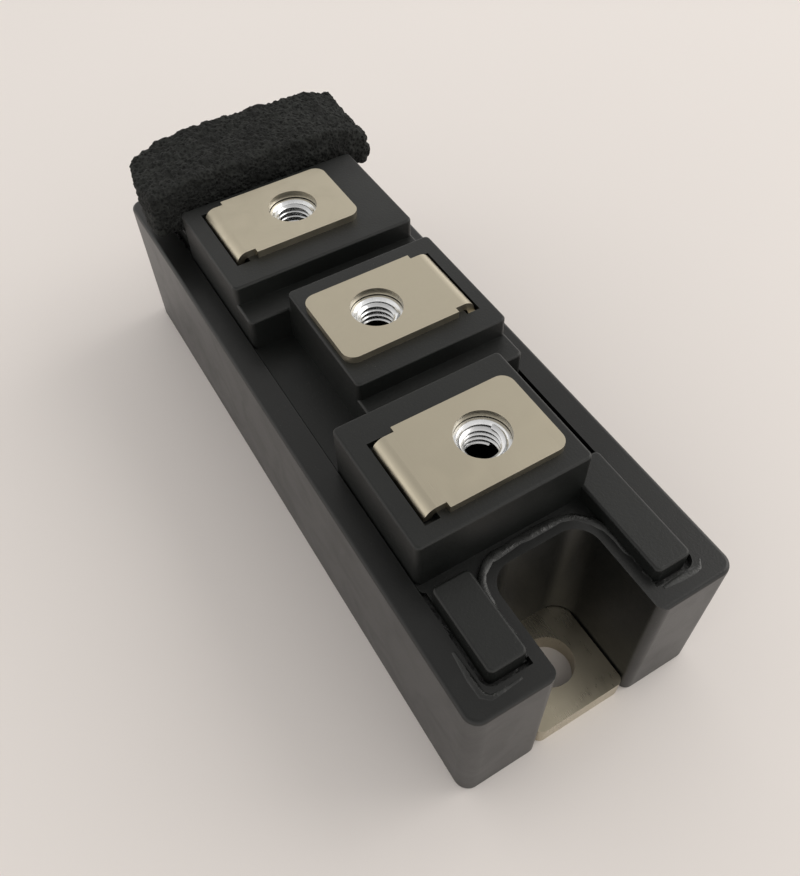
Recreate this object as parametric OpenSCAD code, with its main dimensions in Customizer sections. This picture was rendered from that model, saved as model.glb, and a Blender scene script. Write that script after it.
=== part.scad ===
// Half-bridge power module in a 34 mm wide moulded case.
// A slab base plate carries two soldered substrates. A deep case is bonded round them, filled
// with gel, and closed by a lid that holds three screw terminals and four signal tabs.
// X runs along the case, Z is up, and the origin is the middle of the base plate's underside.

/* [Case] */
// Length of the case
case_l = 94; // [88:0.5:104]
// Width of the case
case_w = 34; // [32:0.5:40]
// Height of the rim above the mounting surface
rim_z = 21.9; // [20:0.1:26]
// Height of the case's lower edge above the mounting surface
case_lift = 0.2; // [0.1:0.05:0.6]
// Radius of the upright corners of the case
case_corner_r = 1.8; // [1:0.1:3]
// Radius of the rounded outer edge of the rim
case_edge_r = 0.5; // [0.2:0.05:0.8]
// Width of the rim along the long sides
rim_side = 3.4; // [2.4:0.1:4]
// Width of the rim at the two ends
rim_end = 2.5; // [2:0.1:3.5]
// Width of the ledge that the lid sits on
ledge_w = 1.2; // [0.6:0.1:1.8]
// Depth of the lid seat below the rim
seat_depth = 2.5; // [2:0.1:4]
// Radius of the corners of the lid seat
seat_corner_r = 1.4; // [0.8:0.1:2]

/* [Notches] */
// Width of the screw notch in each end
notch_w = 13; // [11:0.1:14]
// Depth of the notch, measured from the end of the case
notch_depth = 13.1; // [11:0.1:15]
// Radius in the two inner corners of the notch
notch_r = 3; // [1:0.1:4]
// Radius on the tips of the prongs beside the notch
prong_r = 1.2; // [0.4:0.1:2]
// Thickness of the wall round the notch
notch_wall = 1.5; // [1:0.1:2.2]

/* [Base plate] */
// Thickness of the base plate
plate_t = 3; // [2:0.1:4]
// Distance of the plate's shoulders from the back of the notch
plate_shoulder = 1.3; // [0.4:0.1:1.4]
// Distance of the plate's long sides from the sides of the case
plate_side = 3.1; // [2.5:0.1:3.5]
// Distance of the ends of the plate from the ends of the case
plate_setback = 0.3; // [0:0.05:1]
// Gap between the tabs of the plate and the notch walls
tab_gap = 0.2; // [0.1:0.05:0.5]
// Gap between the wide middle of the plate and the case
plate_fit = 0.15; // [0.05:0.05:0.3]
// Radius on the corners of the plate
plate_corner_r = 1; // [0.3:0.1:2]
// Distance of a mounting hole from the end of the case
mount_inset = 7; // [5:0.1:8]
// Diameter of a mounting hole
mount_d = 6.5; // [5:0.1:7]
// Thickness of the adhesive between plate and case
bond_t = 0.2; // [0.1:0.05:0.4]

/* [Lid] */
// Gap between the lid and the wall of its seat
lid_fit = 0.2; // [0.1:0.05:0.5]
// Distance of the lid's floor below the rim
floor_drop = 0.5; // [0.1:0.05:0.8]
// Thickness of the moulded walls of the lid
lid_wall = 1.8; // [1.2:0.1:2.2]
// Gap round the outside of the end pads
pad_groove = 0.7; // [0.4:0.05:1]
// Height of the end pads above the rim
pad_rise = 1.9; // [1:0.1:3]
// Length of the end pads
pad_l = 10.8; // [9:0.1:11.6]
// Length by which one near pad runs back beside its block
pad_run_back = 5; // [2:0.5:8]
// Height of the low decks between the blocks above the rim
deck_rise = 4.3; // [2:0.1:6]
// Radius on the top edges of the lid
lid_edge_r = 0.35; // [0.15:0.05:0.5]
// Radius on the upright corners of the lid
lid_corner_r = 0.7; // [0.6:0.05:1]
// Depth of the adhesive's surface below the floor of the lid
seal_drop = 0.6; // [0.2:0.05:1]

/* [Terminal blocks] */
// Distance of the end blocks from the edge of the lid at the notch
block_setback = 1.1; // [0.5:0.1:1.5]
// Distance from the screw hole of an end block to its side facing the middle
end_block_in = 10; // [9.4:0.1:10.4]
// Distance from the screw hole of an end block to its side facing the notch
end_block_out = 8.1; // [8:0.05:8.4]
// Length of the middle block along the case
middle_block_l = 18.4; // [17:0.1:19]
// Height of the blocks above the rim
block_rise = 7.1; // [6.5:0.1:9]
// Distance from the middle to the set-back side of the middle block
middle_block_side = 7.9; // [7.6:0.1:9]
// Distance from the middle to the set-back side of the near block
near_block_side = 9; // [8:0.1:10]
// Distance from the rim to the far side of the wide blocks
block_far_gap = 0.6; // [0.2:0.1:1]

/* [Terminals] */
// Thickness of the terminal strip
strip_t = 1; // [0.8:0.1:1.2]
// Width of a terminal plate
strip_w = 12.1; // [11:0.1:13]
// Distance from the screw hole to the free end of the plate
free_end = 7.3; // [6:0.1:7.6]
// Distance from the outer side of a terminal's block to the outside of its bend
bend_setback = 2.55; // [2.4:0.05:3.4]
// Inner radius of the bends
bend_r = 0.6; // [0.4:0.1:1]
// Radius on the corners of the free end
free_corner_r = 1.6; // [0.5:0.1:2]
// Diameter of the hole in a terminal plate
terminal_hole_d = 6.6; // [6:0.1:7]
// Width of the relief notch at each end of the bend
relief_w = 0.75; // [0.3:0.05:1.2]
// Length of the relief notch at each end of the bend
relief_l = 1.2; // [0.6:0.1:1.6]
// Width of a terminal leg
leg_w = 6; // [4:0.1:7]
// Distance between the feet of the forked middle terminal
fork_gap = 4.4; // [4:0.1:5]
// Width of each foot of the forked middle terminal
fork_foot_w = 3.6; // [2.5:0.1:3.8]
// Height of the fork's opening above the feet
fork_h = 7; // [6:0.5:9]
// Length of a terminal foot
foot_l = 3.6; // [2.6:0.1:4]
// Gap round a leg in its slot
slot_fit = 0.25; // [0.1:0.05:0.4]

/* [Nuts] */
// Distance across the flats of a nut
nut_af = 8; // [7:0.1:8.5]
// Height of a nut
nut_h = 4; // [3:0.1:5]
// Diameter of the nut's bore
nut_bore_d = 4.2; // [3.5:0.1:4.4]
// Diameter of the countersinks of a nut
nut_sink_d = 5.6; // [5:0.1:6.2]
// Gap round a nut in its pocket
nut_fit = 0.15; // [0.05:0.05:0.3]
// Depth of the screw clearance below the nut
screw_room = 3.6; // [2:0.1:4]
// Diameter of the screw clearance below the nut
screw_room_d = 5.6; // [5.2:0.1:6.4]
// Diameter of the tower that holds a nut
tower_d = 12.4; // [11.8:0.1:13]

/* [Signal tabs] */
// Width of a signal tab
tab_w = 2.8; // [2:0.1:3]
// Thickness of a signal tab
tab_t = 0.5; // [0.4:0.05:0.6]
// Distance between the two tabs of a pad
tab_pitch = 5; // [4.6:0.1:5.6]
// Distance of the outer tab from the end of the lid seat
tab_inset = 3.2; // [2.4:0.1:4]
// Height of the tabs above the pad
tab_rise = 5.8; // [4:0.1:6]
// Width of the shoulders on a tab
shoulder_w = 4; // [3.4:0.1:4.4]
// Height of the shoulders on a tab
shoulder_h = 0.7; // [0.3:0.1:1.2]
// Height of the strip that runs in from a tab
arm_h = 2; // [1.6:0.1:2.4]
// Height of the lower arm's middle above the mounting surface
low_arm_z = 9.5; // [9.3:0.1:10]
// Height of the upper arm's middle above the mounting surface
high_arm_z = 12.5; // [12.2:0.1:13]
// Gap round a tab in its slot
tab_fit = 0.1; // [0.05:0.05:0.2]

/* [Foam block] */
// Length of the foam along the case
foam_l = 11.5; // [10.5:0.1:13]
// Distance of the foam from the sides of the case
foam_inset = 0.15; // [0:0.05:1]
// Height of the foam
foam_h = 6.45; // [6.2:0.05:9]
// Sideways shift of the foam
foam_shift = 0.15; // [0:0.05:0.15]
// Radius on the upright corners of the foam
foam_corner_r = 1.6; // [0.5:0.1:3]
// Radius on the top edges of the foam
foam_edge_r = 0.8; // [0.3:0.1:1.2]

/* [Substrates] */
// Gap between a substrate and the wall round the notch
substrate_end_gap = 2.2; // [1.6:0.1:2.6]
// Gap between a substrate and the side walls of the case
substrate_side_gap = 0.7; // [0.4:0.1:0.9]
// Thickness of a ceramic substrate
ceramic_t = 0.6; // [0.4:0.05:1]
// Gap between the two substrates
ceramic_gap = 1.6; // [1:0.1:2]
// Thickness of each copper layer
copper_t = 0.3; // [0.2:0.05:0.4]
// Bare edge of the ceramic round the copper
copper_border = 0.6; // [0.4:0.1:1]
// Gap between neighbouring copper areas
copper_gap = 0.8; // [0.4:0.1:1]
// Distance of the collector area's edge from the middle of the case
collector_edge = 3.6; // [3.5:0.1:4]
// Length of a signal area
signal_l = 5; // [4:0.1:5.2]
// Width of a signal area
signal_w = 1.4; // [1.3:0.1:1.6]
// Thickness of the solder under a substrate
solder_t = 0.2; // [0.1:0.05:0.3]

/* [Chips] */
// Gap between the transistor chip and the foot of the terminal beside it
igbt_foot_gap = 0.7; // [0.5:0.1:2]
// Width of the transistor chip across the case
igbt_w = 11.5; // [9:0.1:11.6]
// Side of the diode chip
diode_side = 7.6; // [6:0.1:8]
// Thickness of the chips
chip_t = 0.3; // [0.2:0.05:0.4]
// Thickness of the solder under the chips
chip_solder_t = 0.1; // [0.05:0.01:0.15]
// Distance of the chips from the edges of their copper area
chip_edge = 0.6; // [0.4:0.1:0.8]
// Gap between the transistor and the diode
chip_gap = 1.2; // [1:0.1:1.4]

/* [Wires] */
// Diameter of a bond wire
wire_d = 0.4; // [0.25:0.05:0.5]
// Distance of the power wires' first feet from the edge of the chip
wire_inset = 2.4; // [2:0.1:3]
// Gap between the power wires and the foot of the terminal beside them
wire_foot_gap = 0.7; // [0.5:0.1:1]
// Distance between the wires of the transistor
igbt_wire_pitch = 2; // [1.2:0.1:2.2]
// Distance between the wires of the diode
diode_wire_pitch = 2.4; // [1.2:0.1:3]
// Diameter of the sleeved signal leads
lead_d = 1.2; // [0.8:0.1:1.3]
// Bending radius of the signal leads
lead_bend_r = 1.6; // [1.2:0.1:2]

/* [Gel] */
// Height of the gel above the mounting surface
gel_z = 14.5; // [14:0.1:16]

/* [Hidden] */
$fn = 48;

// Length by which a cutting shape runs past what it cuts
over = 1;

// Colours
black_plastic = "#2b2c2e";
lid_plastic = "#242527";
nickel = "#cfc8b8";
zinc = "#d9dbdc";
foam_black = "#1b1b1c";
glue_black = "#151515";
clear_gel = "#dfe6e8";
ceramic_white = "#ece7dc";
copper = "#b87348";
solder_grey = "#9da1a3";
chip_grey = "#6f747a";
aluminium = "#c9ccce";
sleeve_white = "#e8e4da";

// Case
case_x = case_l / 2;
case_y = case_w / 2;
seat_x = case_x - rim_end;
seat_y = case_y - rim_side;
seat_z = rim_z - seat_depth;
room_y = seat_y - ledge_w;
notch_y = notch_w / 2;
notch_x = case_x - notch_depth;

// Base plate
plate_x = case_x - plate_setback;
plate_body_x = notch_x - plate_shoulder;
plate_body_y = case_y - plate_side;
mount_x = case_x - mount_inset;
plate_tab_y = notch_y - tab_gap;
case_floor_z = plate_t + bond_t;

// Lid
floor_z = rim_z - floor_drop;
seal_z = floor_z - seal_drop;
deck_z = rim_z + deck_rise;
pad_z = rim_z + pad_rise;
block_z = rim_z + block_rise;
pad_end = seat_x - pad_groove;
pad_start = pad_end - pad_l;
pad_y = seat_y - pad_groove;
pad_inner_y = notch_y + notch_wall + lid_fit;
block_y = seat_y - lid_fit;
block_far_y = seat_y - block_far_gap;
lid_body_x = notch_x - notch_wall - lid_fit;
block_out_x = lid_body_x - block_setback;
terminal_pitch = block_out_x - end_block_out;
block_in_x = terminal_pitch - end_block_in;
middle_x = middle_block_l / 2;
tower_z = block_z - nut_h - 2 * nut_fit - screw_room - lid_wall;

// Terminals
bend_side = block_y - bend_setback;
terminal_z = block_z + strip_t;
bend_outer_r = bend_r + strip_t;
relief_strip_w = strip_w - 2 * relief_w;
nut_z = block_z - nut_fit - nut_h;
nut_sink_h = (nut_sink_d - nut_bore_d) / 2;

// Substrate stack
copper_back_z = plate_t + solder_t;
ceramic_z = copper_back_z + copper_t;
copper_front_z = ceramic_z + ceramic_t;
chip_solder_z = copper_front_z + copper_t;
chip_z = chip_solder_z + chip_solder_t;
chip_top_z = chip_z + chip_t;
ceramic_x = ceramic_gap / 2;
ceramic_end_x = notch_x - notch_wall - substrate_end_gap;
ceramic_y = room_y - substrate_side_gap;
copper_x = ceramic_x + copper_border;
copper_end_x = ceramic_end_x - copper_border;
copper_y = ceramic_y - copper_border;
emitter_y = collector_edge + copper_gap;
collector_x = copper_x + signal_l + copper_gap;
gate_y = collector_edge - signal_w / 2;
aux_y = gate_y - signal_w - copper_gap;
igbt_start_x = collector_x + chip_edge;
igbt_end_x = terminal_pitch - leg_w / 2 - igbt_foot_gap;
igbt_x = (igbt_start_x + igbt_end_x) / 2;
chip_top_y = collector_edge - chip_edge;
diode_x = igbt_end_x + chip_gap + diode_side / 2;
diode_y = chip_top_y - diode_side / 2;
wire_start_y = chip_top_y - wire_inset;
wire_end_y = bend_side - foot_l - wire_foot_gap;

// Signal tabs
tab_y = (pad_y + pad_inner_y) / 2;
outer_tab_x = seat_x - tab_inset;
inner_tab_x = outer_tab_x - tab_pitch;
tab_z = pad_z + tab_rise;
lead_end_x = copper_x + lead_d;
outer_lead_x = ceramic_end_x - lead_d;
inner_lead_x = outer_lead_x - 1.5 * lead_d;

// Foam
foam_z = pad_z + shoulder_h;
foam_y = case_y - foam_inset;

// ---- Shared shapes ----

// Rectangle between two corners
module area(x0, x1, y0, y1) {
    translate([x0, y0])
        square([x1 - x0, y1 - y0]);
}

// Rectangle about the origin with round corners
module round_area(half_x, half_y, r) {
    square([2 * (half_x - r), 2 * half_y], center = true);
    square([2 * half_x, 2 * (half_y - r)], center = true);
    for (sx = [-1, 1], sy = [-1, 1])
        translate([sx * (half_x - r), sy * (half_y - r)])
            circle(r);
}

// Flat sheet of an outline between two heights
module layer(z0, z1) {
    translate([0, 0, z0])
        linear_extrude(z1 - z0)
            children();
}

// Plain block between two corners
module block(x0, x1, y0, y1, z0, z1) {
    layer(z0, z1)
        area(x0, x1, y0, y1);
}

// Upright profile whose two top corners are round
module round_top(w, h, r) {
    square([w, h - r]);
    translate([r, 0])
        square([w - 2 * r, h]);
    for (y = [r, w - r])
        translate([y, h - r])
            circle(r);
}

// Block with round upright corners and a rounded top edge
module soft_block(x0, x1, y0, y1, z0, z1, corner_r, edge_r) {
    h = z1 - z0;
    translate([x0 + corner_r, y0, z0])
        rotate([90, 0, 90])
            linear_extrude(x1 - x0 - 2 * corner_r)
                round_top(y1 - y0, h, edge_r);
    translate([x0, y1 - corner_r, z0])
        rotate([90, 0, 0])
            linear_extrude(y1 - y0 - 2 * corner_r)
                round_top(x1 - x0, h, edge_r);
    for (x = [x0 + corner_r, x1 - corner_r], y = [y0 + corner_r, y1 - corner_r])
        translate([x, y, z0])
            rotate_extrude()
                intersection() {
                    translate([-corner_r, 0])
                        round_top(2 * corner_r, h, edge_r);
                    square([corner_r, h]);
                }
}

// Puts a shape at both ends of the module
module both_ends() {
    children();
    rotate([0, 0, 180])
        children();
}

// Outline of the notch in the near end, grown on all sides
module notch_area(grow) {
    half_w = notch_y + grow;
    back_x = notch_x - grow;
    r = notch_r + grow;
    far_x = case_x + over;
    area(back_x + r, far_x, -half_w, half_w);
    area(back_x, far_x, -half_w + r, half_w - r);
    for (side = [-1, 1])
        translate([back_x + r, side * (half_w - r)])
            circle(r);
}

// What rounds off the tips of the prongs beside the near notch
module prong_tip_area() {
    for (side = [-1, 1])
        mirror([0, side < 0 ? 1 : 0])
            difference() {
                area(case_x - prong_r, case_x + over, notch_y - over, notch_y + prong_r);
                translate([case_x - prong_r, notch_y + prong_r])
                    circle(prong_r);
            }
}

// Outline inside the case, set in from the walls of the lid seat
module seat_area(inset) {
    difference() {
        round_area(seat_x - inset, seat_y - inset, seat_corner_r);
        both_ends()
            notch_area(notch_wall + inset);
    }
}

// Outline of the base plate, grown on all sides
module plate_area(grow) {
    round_area(plate_body_x + grow, plate_body_y + grow, plate_corner_r);
    round_area(plate_x, plate_tab_y + min(grow, tab_gap), plate_corner_r);
}

// ---- Case and base plate ----

module case() {
    color(black_plastic)
        difference() {
            soft_block(-case_x, case_x, -case_y, case_y, case_lift, rim_z, case_corner_r, case_edge_r);
            layer(-over, rim_z + over)
                both_ends() {
                    notch_area(0);
                    prong_tip_area();
                }
            layer(seat_z, rim_z + over)
                seat_area(0);
            layer(case_floor_z, rim_z)
                seat_area(ledge_w);
            layer(-over, case_floor_z)
                plate_area(plate_fit);
        }
}

module base_plate() {
    color(nickel)
        difference() {
            layer(0, plate_t)
                plate_area(0);
            for (side = [-1, 1])
                translate([side * mount_x, 0, -over])
                    cylinder(d = mount_d, h = plate_t + 2 * over);
        }
}

// Adhesive between the plate and the underside of the case walls
module base_seal() {
    color(glue_black)
        layer(plate_t, case_floor_z)
            difference() {
                intersection() {
                    plate_area(0);
                    square([2 * notch_x, case_w], center = true);
                }
                seat_area(ledge_w);
            }
}

// ---- Lid ----

// Outline of the lid's floor
module lid_area() {
    difference() {
        union() {
            round_area(pad_end, pad_y, lid_corner_r);
            round_area(lid_body_x, block_y, lid_corner_r);
        }
        both_ends()
            notch_area(notch_wall + lid_fit);
    }
}

// Raised pad on each prong, with one pad running back beside the near block
module pads() {
    for (end = [0, 1], side = [-1, 1]) {
        back_x = (end == 0 && side == 1) ? pad_start - pad_run_back : pad_start;
        mirror([end, 0, 0])
            mirror([0, side < 0 ? 1 : 0, 0])
                soft_block(back_x, pad_end, pad_inner_y, pad_y, seat_z, pad_z, lid_corner_r, lid_edge_r);
    }
}

// The three terminal blocks down to a given height, set in from their outer faces by a wall
module block_shapes(wall, low_z) {
    for (span = [
        [-block_out_x, -block_in_x, -block_y, block_far_y],
        [-middle_x, middle_x, -middle_block_side, block_far_y],
        [block_in_x, block_out_x, -block_y, near_block_side]
    ])
        soft_block(
            span[0] + wall, span[1] - wall, span[2] + wall, span[3] - wall,
            low_z, block_z - wall, lid_corner_r, lid_edge_r
        );
}

// One of the low decks that join the blocks, as a soft edge towards +X
module deck(x0, x1, y0, y1) {
    soft_block(x0, x1, y0, y1, seat_z, deck_z, lid_corner_r, lid_edge_r);
}

module decks() {
    deck(-block_in_x - over, -middle_x, -block_y, block_far_y);
    deck(-block_in_x - over, -middle_x + over, -middle_block_side, block_far_y);
    deck(middle_x - over, block_in_x + over, -middle_block_side, near_block_side);
    deck(middle_x - over, block_in_x, -middle_block_side, block_far_y);
}

// Round towers that stand in the hollow blocks and hold the nuts
module nut_towers() {
    for (x = [-terminal_pitch, 0, terminal_pitch])
        translate([x, 0, tower_z])
            cylinder(d = tower_d, h = block_z - lid_wall - tower_z + over);
}

// Six-sided nut pocket with room below it for the end of the screw
module nut_pocket(x) {
    pocket_r = (nut_af / 2 + nut_fit) / cos(30);
    translate([x, 0, nut_z - nut_fit])
        cylinder(r = pocket_r, h = nut_h + 2 * nut_fit + over, $fn = 6);
    translate([x, 0, nut_z - nut_fit - screw_room])
        cylinder(d = screw_room_d, h = screw_room + over);
}

// Slot for a terminal leg, wide at the mouth for the rolled bend
module leg_slot(x, side, w) {
    mouth_z = terminal_z - bend_outer_r - slot_fit;
    translate([x, 0, 0])
        mirror([0, side < 0 ? 1 : 0, 0]) {
            block(
                -w / 2 - slot_fit, w / 2 + slot_fit,
                bend_side - strip_t - slot_fit, bend_side + slot_fit, seat_z - over, block_z + over
            );
            block(
                -strip_w / 2, strip_w / 2,
                bend_side - bend_outer_r, bend_side + slot_fit, mouth_z, block_z + over
            );
        }
}

// Wall that guides a leg down through the hollow of its block
module leg_sleeve(x, side, w) {
    wall = lid_wall / 2 + slot_fit;
    translate([x, 0, 0])
        mirror([0, side < 0 ? 1 : 0, 0])
            block(
                -w / 2 - wall, w / 2 + wall,
                bend_side - strip_t - wall, bend_side + wall, seat_z, block_z - lid_wall / 2
            );
}

module lid() {
    color(lid_plastic)
        difference() {
            union() {
                difference() {
                    union() {
                        layer(seat_z, floor_z)
                            lid_area();
                        pads();
                        block_shapes(0, seat_z);
                        decks();
                    }
                    block_shapes(lid_wall, seat_z - over);
                }
                nut_towers();
                leg_sleeve(-terminal_pitch, -1, leg_w);
                leg_sleeve(0, 1, fork_gap + 2 * fork_foot_w);
                leg_sleeve(terminal_pitch, -1, leg_w);
            }
            for (x = [-terminal_pitch, 0, terminal_pitch])
                nut_pocket(x);
            leg_slot(-terminal_pitch, -1, leg_w);
            leg_slot(0, 1, fork_gap + 2 * fork_foot_w);
            leg_slot(terminal_pitch, -1, leg_w);
            for (x = [inner_tab_x, outer_tab_x], side = [-1, 1])
                translate([-x, side * tab_y, (seat_z + pad_z) / 2])
                    cube([tab_w + 2 * tab_fit, tab_t + 2 * tab_fit, pad_z - seat_z + 2 * over], center = true);
        }
}

// Adhesive in the joint between the lid and its seat
module lid_seal() {
    color(glue_black)
        layer(seat_z, seal_z)
            difference() {
                seat_area(0);
                lid_area();
            }
}

// ---- Terminals and nuts ----

// Quarter bend of the strip about the X axis, starting along +Y and ending along -Z
module strip_bend(w) {
    translate([-w / 2, 0, 0])
        rotate([90, 0, 90])
            linear_extrude(w)
                intersection() {
                    difference() {
                        circle(bend_outer_r);
                        circle(bend_r);
                    }
                    square(bend_outer_r);
                }
}

// Flat top of a terminal with its screw hole, bend relief and bend
module terminal_top() {
    flat_end = bend_side - bend_outer_r;
    translate([0, 0, block_z])
        linear_extrude(strip_t)
            difference() {
                union() {
                    area(-strip_w / 2, strip_w / 2, -free_end + free_corner_r, flat_end);
                    area(
                        -strip_w / 2 + free_corner_r, strip_w / 2 - free_corner_r,
                        -free_end, -free_end + free_corner_r
                    );
                    for (side = [-1, 1])
                        translate([side * (strip_w / 2 - free_corner_r), -free_end + free_corner_r])
                            circle(free_corner_r);
                }
                circle(d = terminal_hole_d);
                for (side = [-1, 1])
                    translate([side * strip_w / 2, flat_end])
                        square([2 * relief_w, 2 * relief_l], center = true);
            }
    translate([0, flat_end, terminal_z - bend_outer_r])
        strip_bend(relief_strip_w);
}

// Foot that turns in from the bottom of a leg
module terminal_foot(w) {
    heel_z = chip_solder_z + bend_outer_r;
    block(-w / 2, w / 2, bend_side - strip_t, bend_side, heel_z, heel_z + over);
    translate([0, bend_side - bend_outer_r, heel_z])
        mirror([0, 0, 1])
            strip_bend(w);
    block(
        -w / 2, w / 2, bend_side - foot_l, bend_side - bend_outer_r,
        chip_solder_z, chip_solder_z + strip_t
    );
}

// Straight part of a leg between the top bend and a given height
module terminal_leg(w, low_z) {
    block(-w / 2, w / 2, bend_side - strip_t, bend_side, low_z, terminal_z - bend_outer_r);
}

module plain_terminal(x) {
    color(nickel)
        translate([x, 0, 0])
            mirror([0, 1, 0]) {
                terminal_top();
                terminal_leg(leg_w, chip_solder_z + bend_outer_r);
                terminal_foot(leg_w);
            }
}

module forked_terminal() {
    fork_w = fork_gap + 2 * fork_foot_w;
    fork_x = (fork_gap + fork_foot_w) / 2;
    color(nickel) {
        terminal_top();
        terminal_leg(fork_w, chip_solder_z + fork_h);
        for (side = [-1, 1])
            translate([side * fork_x, 0, 0]) {
                terminal_leg(fork_foot_w, chip_solder_z + bend_outer_r);
                terminal_foot(fork_foot_w);
            }
    }
}

// Hexagon nut with its corners turned off and its bore countersunk at both ends
module nut(x) {
    corner_r = nut_af / 2 / cos(30);
    chamfer = corner_r - nut_af / 2;
    color(zinc)
        translate([x, 0, nut_z])
            difference() {
                intersection() {
                    cylinder(r = corner_r, h = nut_h, $fn = 6);
                    rotate_extrude()
                        polygon([
                            [0, 0], [nut_af / 2, 0], [corner_r, chamfer],
                            [corner_r, nut_h - chamfer], [nut_af / 2, nut_h], [0, nut_h]
                        ]);
                }
                translate([0, 0, -over])
                    cylinder(d = nut_bore_d, h = nut_h + 2 * over);
                cylinder(d1 = nut_sink_d, d2 = nut_bore_d, h = nut_sink_h);
                translate([0, 0, nut_h - nut_sink_h])
                    cylinder(d1 = nut_bore_d, d2 = nut_sink_d, h = nut_sink_h);
            }
}

// ---- Signal tabs, leads and foam ----

// Stamped tab in the X-Z plane: blade, shoulders, and an arm that runs in over the substrate
module signal_tab(x, arm_z, lead_x, side) {
    color(nickel)
        translate([0, side * tab_y + tab_t / 2, 0])
            rotate([90, 0, 0])
                linear_extrude(tab_t) {
                    area(-x - tab_w / 2, -x + tab_w / 2, arm_z - arm_h / 2, tab_z);
                    area(-x - shoulder_w / 2, -x + shoulder_w / 2, pad_z, pad_z + shoulder_h);
                    area(-x - tab_w / 2, -lead_x + lead_d, arm_z - arm_h / 2, arm_z + arm_h / 2);
                }
}

// Quarter turn of a signal lead in the X-Y plane about the origin
module lead_bend() {
    rotate_extrude(angle = 90)
        translate([lead_bend_r, 0])
            circle(d = lead_d);
}

// Sleeved lead: in from its tab along Y, along X over the chips, then down to its copper area
module signal_lead(start_x, arm_z, end_x, lane_y, side) {
    r = lead_bend_r;
    start_y = tab_y - tab_t / 2;
    color(sleeve_white)
        mirror([0, side < 0 ? 1 : 0, 0])
            translate([0, 0, arm_z]) {
                translate([-start_x, start_y, 0])
                    rotate([90, 0, 0])
                        cylinder(d = lead_d, h = start_y - lane_y - r);
                translate([-start_x + r, lane_y + r, 0])
                    rotate([0, 0, 180])
                        lead_bend();
                translate([-start_x + r, lane_y, 0])
                    rotate([0, 90, 0])
                        cylinder(d = lead_d, h = end_x - r + start_x - r);
                translate([end_x - r, lane_y, -r])
                    rotate([90, 0, 0])
                        lead_bend();
                translate([end_x, lane_y, chip_solder_z - arm_z])
                    cylinder(d = lead_d, h = arm_z - r - chip_solder_z);
            }
}

// Block of open foam pushed down over the signal tabs
module foam_block() {
    color(foam_black)
        difference() {
            soft_block(
                -seat_x, foam_l - seat_x, foam_shift - foam_y, foam_shift + foam_y,
                foam_z, foam_z + foam_h, foam_corner_r, foam_edge_r
            );
            for (x = [inner_tab_x, outer_tab_x], side = [-1, 1])
                translate([-x, side * tab_y, (foam_z + tab_z) / 2])
                    cube(
                        [tab_w + 2 * tab_fit, tab_t + 2 * tab_fit, tab_z - foam_z + 2 * tab_fit],
                        center = true
                    );
        }
}

// ---- Substrates and chips, drawn for the near switch ----

module substrate_sheet(z, t, border) {
    layer(z, z + t)
        area(
            ceramic_x + border, ceramic_end_x - border,
            border - ceramic_y, ceramic_y - border
        );
}

// The etched top copper: collector area, emitter area, and two signal areas
module front_copper() {
    layer(copper_front_z, chip_solder_z) {
        area(copper_x, copper_end_x, emitter_y, copper_y);
        area(collector_x, copper_end_x, -copper_y, collector_edge);
        area(copper_x, collector_x, -copper_y, aux_y - signal_w / 2 - copper_gap);
        for (y = [gate_y, aux_y])
            area(copper_x, copper_x + signal_l, y - signal_w / 2, y + signal_w / 2);
    }
}

// Sheet as large as the transistor chip
module igbt_sheet(z, t) {
    block(igbt_start_x, igbt_end_x, chip_top_y - igbt_w, chip_top_y, z, z + t);
}

// Sheet as large as the diode chip
module diode_sheet(z, t) {
    half = diode_side / 2;
    block(diode_x - half, diode_x + half, diode_y - half, diode_y + half, z, z + t);
}

// Arched wire between two points that stand on faces of different heights
module bond_wire(x0, y0, z0, x1, y1, z1) {
    half_span = norm([x1 - x0, y1 - y0]) / 2;
    top_z = max(z0, z1);
    translate([(x0 + x1) / 2, (y0 + y1) / 2, top_z])
        rotate([0, 0, atan2(y1 - y0, x1 - x0)]) {
            rotate([90, 0, 0])
                rotate_extrude(angle = 180)
                    translate([half_span, 0])
                        circle(d = wire_d);
            for (foot = [[-half_span, z0], [half_span, z1]])
                if (foot[1] < top_z)
                    translate([foot[0], 0, foot[1] - top_z])
                        cylinder(d = wire_d, h = top_z - foot[1]);
        }
}

module switch_wires() {
    for (i = [-2:2])
        bond_wire(
            igbt_x + i * igbt_wire_pitch, wire_start_y, chip_top_z,
            igbt_x + i * igbt_wire_pitch, wire_end_y, chip_solder_z
        );
    for (i = [-1:1])
        bond_wire(
            diode_x + i * diode_wire_pitch, wire_start_y, chip_top_z,
            diode_x + i * diode_wire_pitch, wire_end_y, chip_solder_z
        );
    for (y = [gate_y, aux_y])
        bond_wire(
            copper_x + signal_l - signal_w / 2, y, chip_solder_z,
            igbt_start_x + signal_w / 2, y - signal_w, chip_top_z
        );
}

// Places what is drawn for the near switch at the near or the far end
module at_end(far) {
    rotate([0, 0, far ? 180 : 0])
        children();
}

module plate_solder(far) {
    color(solder_grey)
        at_end(far)
            substrate_sheet(plate_t, solder_t, copper_border);
}

module copper_back(far) {
    color(copper)
        at_end(far)
            substrate_sheet(copper_back_z, copper_t, copper_border);
}

module ceramic(far) {
    color(ceramic_white)
        at_end(far)
            substrate_sheet(ceramic_z, ceramic_t, 0);
}

module copper_front(far) {
    color(copper)
        at_end(far)
            front_copper();
}

module chip_solder(far) {
    color(solder_grey)
        at_end(far) {
            igbt_sheet(chip_solder_z, chip_solder_t);
            diode_sheet(chip_solder_z, chip_solder_t);
        }
}

module igbt_chip(far) {
    color(chip_grey)
        at_end(far)
            igbt_sheet(chip_z, chip_t);
}

module diode_chip(far) {
    color(chip_grey)
        at_end(far)
            diode_sheet(chip_z, chip_t);
}

module bond_wires(far) {
    color(aluminium)
        at_end(far)
            switch_wires();
}

// ---- The four signal connections ----
// The right-hand pair serves the near switch and the left-hand pair the far switch.

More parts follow.
